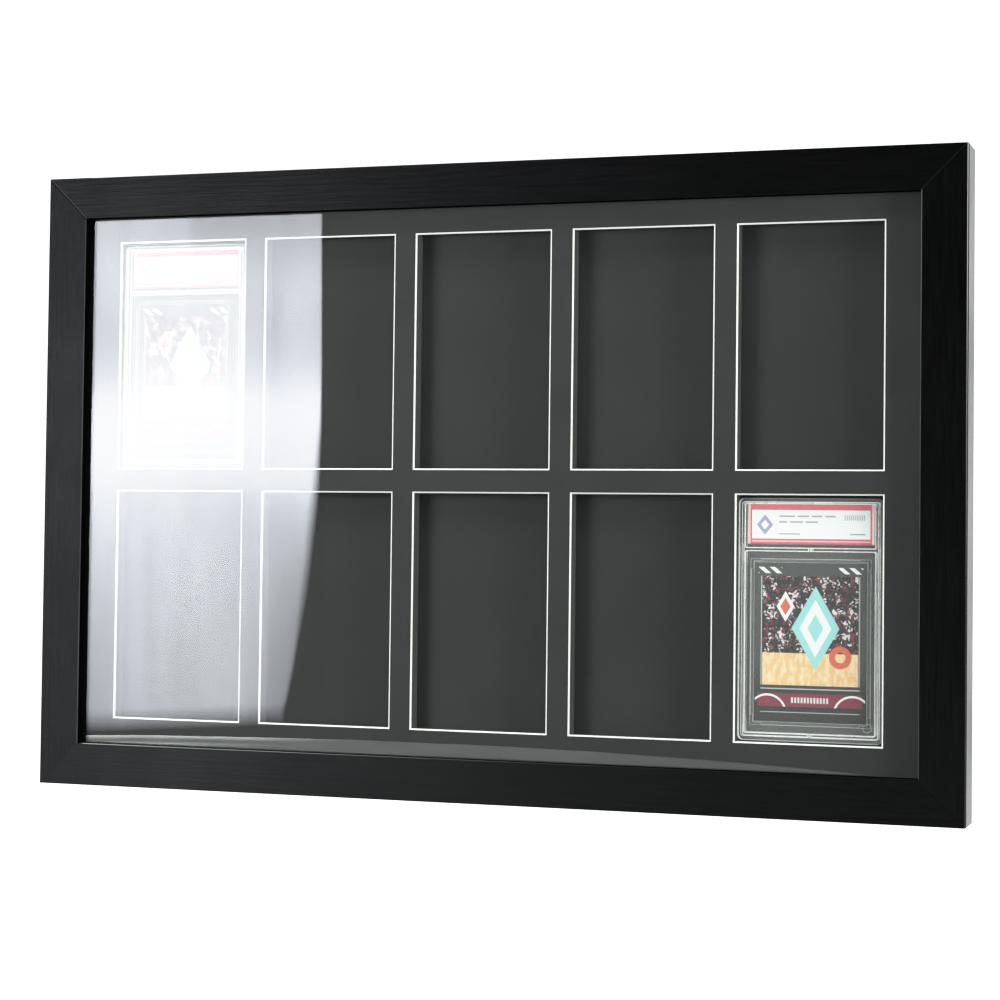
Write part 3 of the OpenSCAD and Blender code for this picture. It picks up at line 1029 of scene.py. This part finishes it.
def glow(material, colour, strength):
    tree = material.node_tree
    unscattered = calc(tree, "LESS_THAN", addNode(tree, "LightPath").outputs["Diffuse Depth"], 0.5)
    inputs = {"Color": rgb(colour), "Strength": times(tree, strength, unscattered)}
    emission = addNode(tree, "Emission", inputs)
    tree.links.new(emission.outputs[0], tree.nodes["Material Output"].inputs["Surface"])
    material.cycles.emission_sampling = "NONE"


# The window's right edge bows and blurs, its middle is brightest, and its sill slants
window = {
    "distance": -1.36396,
    "corners": ((-1.15, -0.48), (-0.65, -0.48), (-0.65, 0.32), (-1.15, 0.32)),
    "rightEdge": (          # by height
        (-0.421, -0.7015), (-0.359, -0.6885), (-0.287, -0.6786), (-0.216, -0.6704), (-0.144, -0.6636),
        (-0.108, -0.6611), (-0.0725, -0.6588), (-0.037, -0.6581), (0.035, -0.6587), (0.149, -0.6604),
    ),
    "edgeSoft": (
        (-0.34, 0.0028), (-0.3, 0.005), (-0.275, 0.0065), (-0.17, 0.0065), (-0.108, 0.004), (-0.05, 0.0012),
    ),
    "up": (
        (-0.41, 6.9), (-0.314, 8.3), (-0.2416, 9.6), (-0.181, 11.6), (-0.074, 18.5), (-0.029, 12.4),
        (0.04, 9.1), (0.105, 9.6), (0.165, 8.4),
    ),
    "fades": (              # where each starts and ends across, and how deep it is by height
        {
            "across": (-0.848, -0.825),
            "depth": (
                (-0.3, 0.02), (-0.24, 0.05), (-0.145, 0.18), (-0.05, 0.06), (0.06, 0.04), (0.12, 0.16),
                (0.165, 0.29),
            ),
        },
        {"across": (-0.761, -0.683), "depth": ((-0.41, 0.62), (-0.27, 0.42), (-0.16, 0.02))},
        {"across": (-0.905, -0.94), "depth": ((-0.34, 0.2), (-0.2, 0.06), (-0.145, 0.0))},
    ),
    "sill": (-0.456, -0.428),       # dark and bright heights
    "sillSlant": 0.07,
    "sillMiddle": 0.965,
    "streaks": (0.92, 1.08),
    "streakStretch": (30.0, 1.0, 4.0),
    "tint": (0.89, 0.915, 1.0),
}
mirrorNoise = {"detail": 3.0, "span": (0.3, 0.7)}
material, tree, x, z = glowing("window")
edge = curveOf(tree, z, window["rightEdge"])
soft = curveOf(tree, z, window["edgeSoft"])
inside = between(tree, calc(tree, "DIVIDE", calc(tree, "SUBTRACT", edge, x), soft), -1.0, 1.0)
fall = times(tree, calc(tree, "ADD", x, window["sillMiddle"]), window["sillSlant"])
sill = between(tree, calc(tree, "SUBTRACT", z, fall), *window["sill"])
strength = curveOf(tree, z, window["up"])
for fade in window["fades"]:
    loss = times(tree, between(tree, x, *fade["across"]), curveOf(tree, z, fade["depth"]))
    strength = times(tree, strength, calc(tree, "SUBTRACT", 1.0, loss))
curtain = noise(tree, stretched(tree, window["streakStretch"]), 1.0, mirrorNoise["detail"])
strength = times(tree, strength, between(tree, curtain, *mirrorNoise["span"], *window["streaks"]))
strength = times(tree, strength, times(tree, inside, sill))
glow(material, window["tint"], strength)
outline = [(across, window["distance"], up) for across, up in window["corners"]]
mirroredOnly(stagePiece("window", outline, material))

# The table edge bows too, with bright lines along it on the left, and is paler lower down
tableEdge = {
    "ahead": 0.004,         # of the window
    "low": -0.8,
    "edge": (
        (-1.15, -0.4625), (-0.96, -0.4585), (-0.876, -0.4553), (-0.743, -0.4527), (-0.614, -0.4507),
        (-0.427, -0.451), (-0.307, -0.4531), (-0.19, -0.4568), (-0.077, -0.4615), (0.0013, -0.4659),
        (0.0505, -0.467), (0.4, -0.475),
    ),
    "strength": ((-0.94, 1.5), (-0.678, 1.25), (-0.55, 1.1), (-0.43, 1.08), (-0.19, 0.9), (0.05, 0.8)),
    "lines": (              # how deep below the edge each fades in and out, and how bright it is across
        {
            "starts": (-0.0004, 0.0005),
            "ends": (0.0006, 0.0045),
            "strength": ((-0.9, 5.6), (-0.75, 4.6), (-0.683, 1.9), (-0.617, 0.0)),
        },
        {
            "starts": (0.0072, 0.0095),
            "ends": (0.0095, 0.013),
            "strength": ((-0.95, 2.9), (-0.85, 2.6), (-0.74, 0.5), (-0.68, 0.0)),
        },
    ),
    "lower": (-0.48, -0.53),        # heights from which and to which it gets paler
    "lowerGain": ((-0.94, 6.2), (-0.43, 2.9), (0.05, 1.7)),
    "grain": (0.85, 1.15),
    "grainStretch": (20.0, 1.0, 200.0),
    "tint": (0.95, 1.0, 0.97),
}
material, tree, x, z = glowing("tableEdge")
below = calc(tree, "SUBTRACT", curveOf(tree, x, tableEdge["edge"]), z)
grain = noise(tree, stretched(tree, tableEdge["grainStretch"]), 1.0, mirrorNoise["detail"])
grained = between(tree, grain, *mirrorNoise["span"], *tableEdge["grain"])
strength = times(tree, curveOf(tree, x, tableEdge["strength"]), grained)
gain = between(tree, z, *tableEdge["lower"], 1.0, curveOf(tree, x, tableEdge["lowerGain"]))
strength = times(tree, strength, gain)
for line in tableEdge["lines"]:
    share = times(tree, between(tree, below, *line["starts"]), between(tree, below, *line["ends"], 1.0, 0.0))
    strength = calc(tree, "MULTIPLY_ADD", share, curveOf(tree, x, line["strength"]), strength)
glow(material, tableEdge["tint"], strength)
left, right = tableEdge["edge"][0][0], tableEdge["edge"][-1][0]
corners = tableEdge["edge"] + ((right, tableEdge["low"]), (left, tableEdge["low"]))
outline = [(across, window["distance"] + tableEdge["ahead"], up) for across, up in corners]
mirroredOnly(stagePiece("tableEdge", outline, material))
print("studio done")
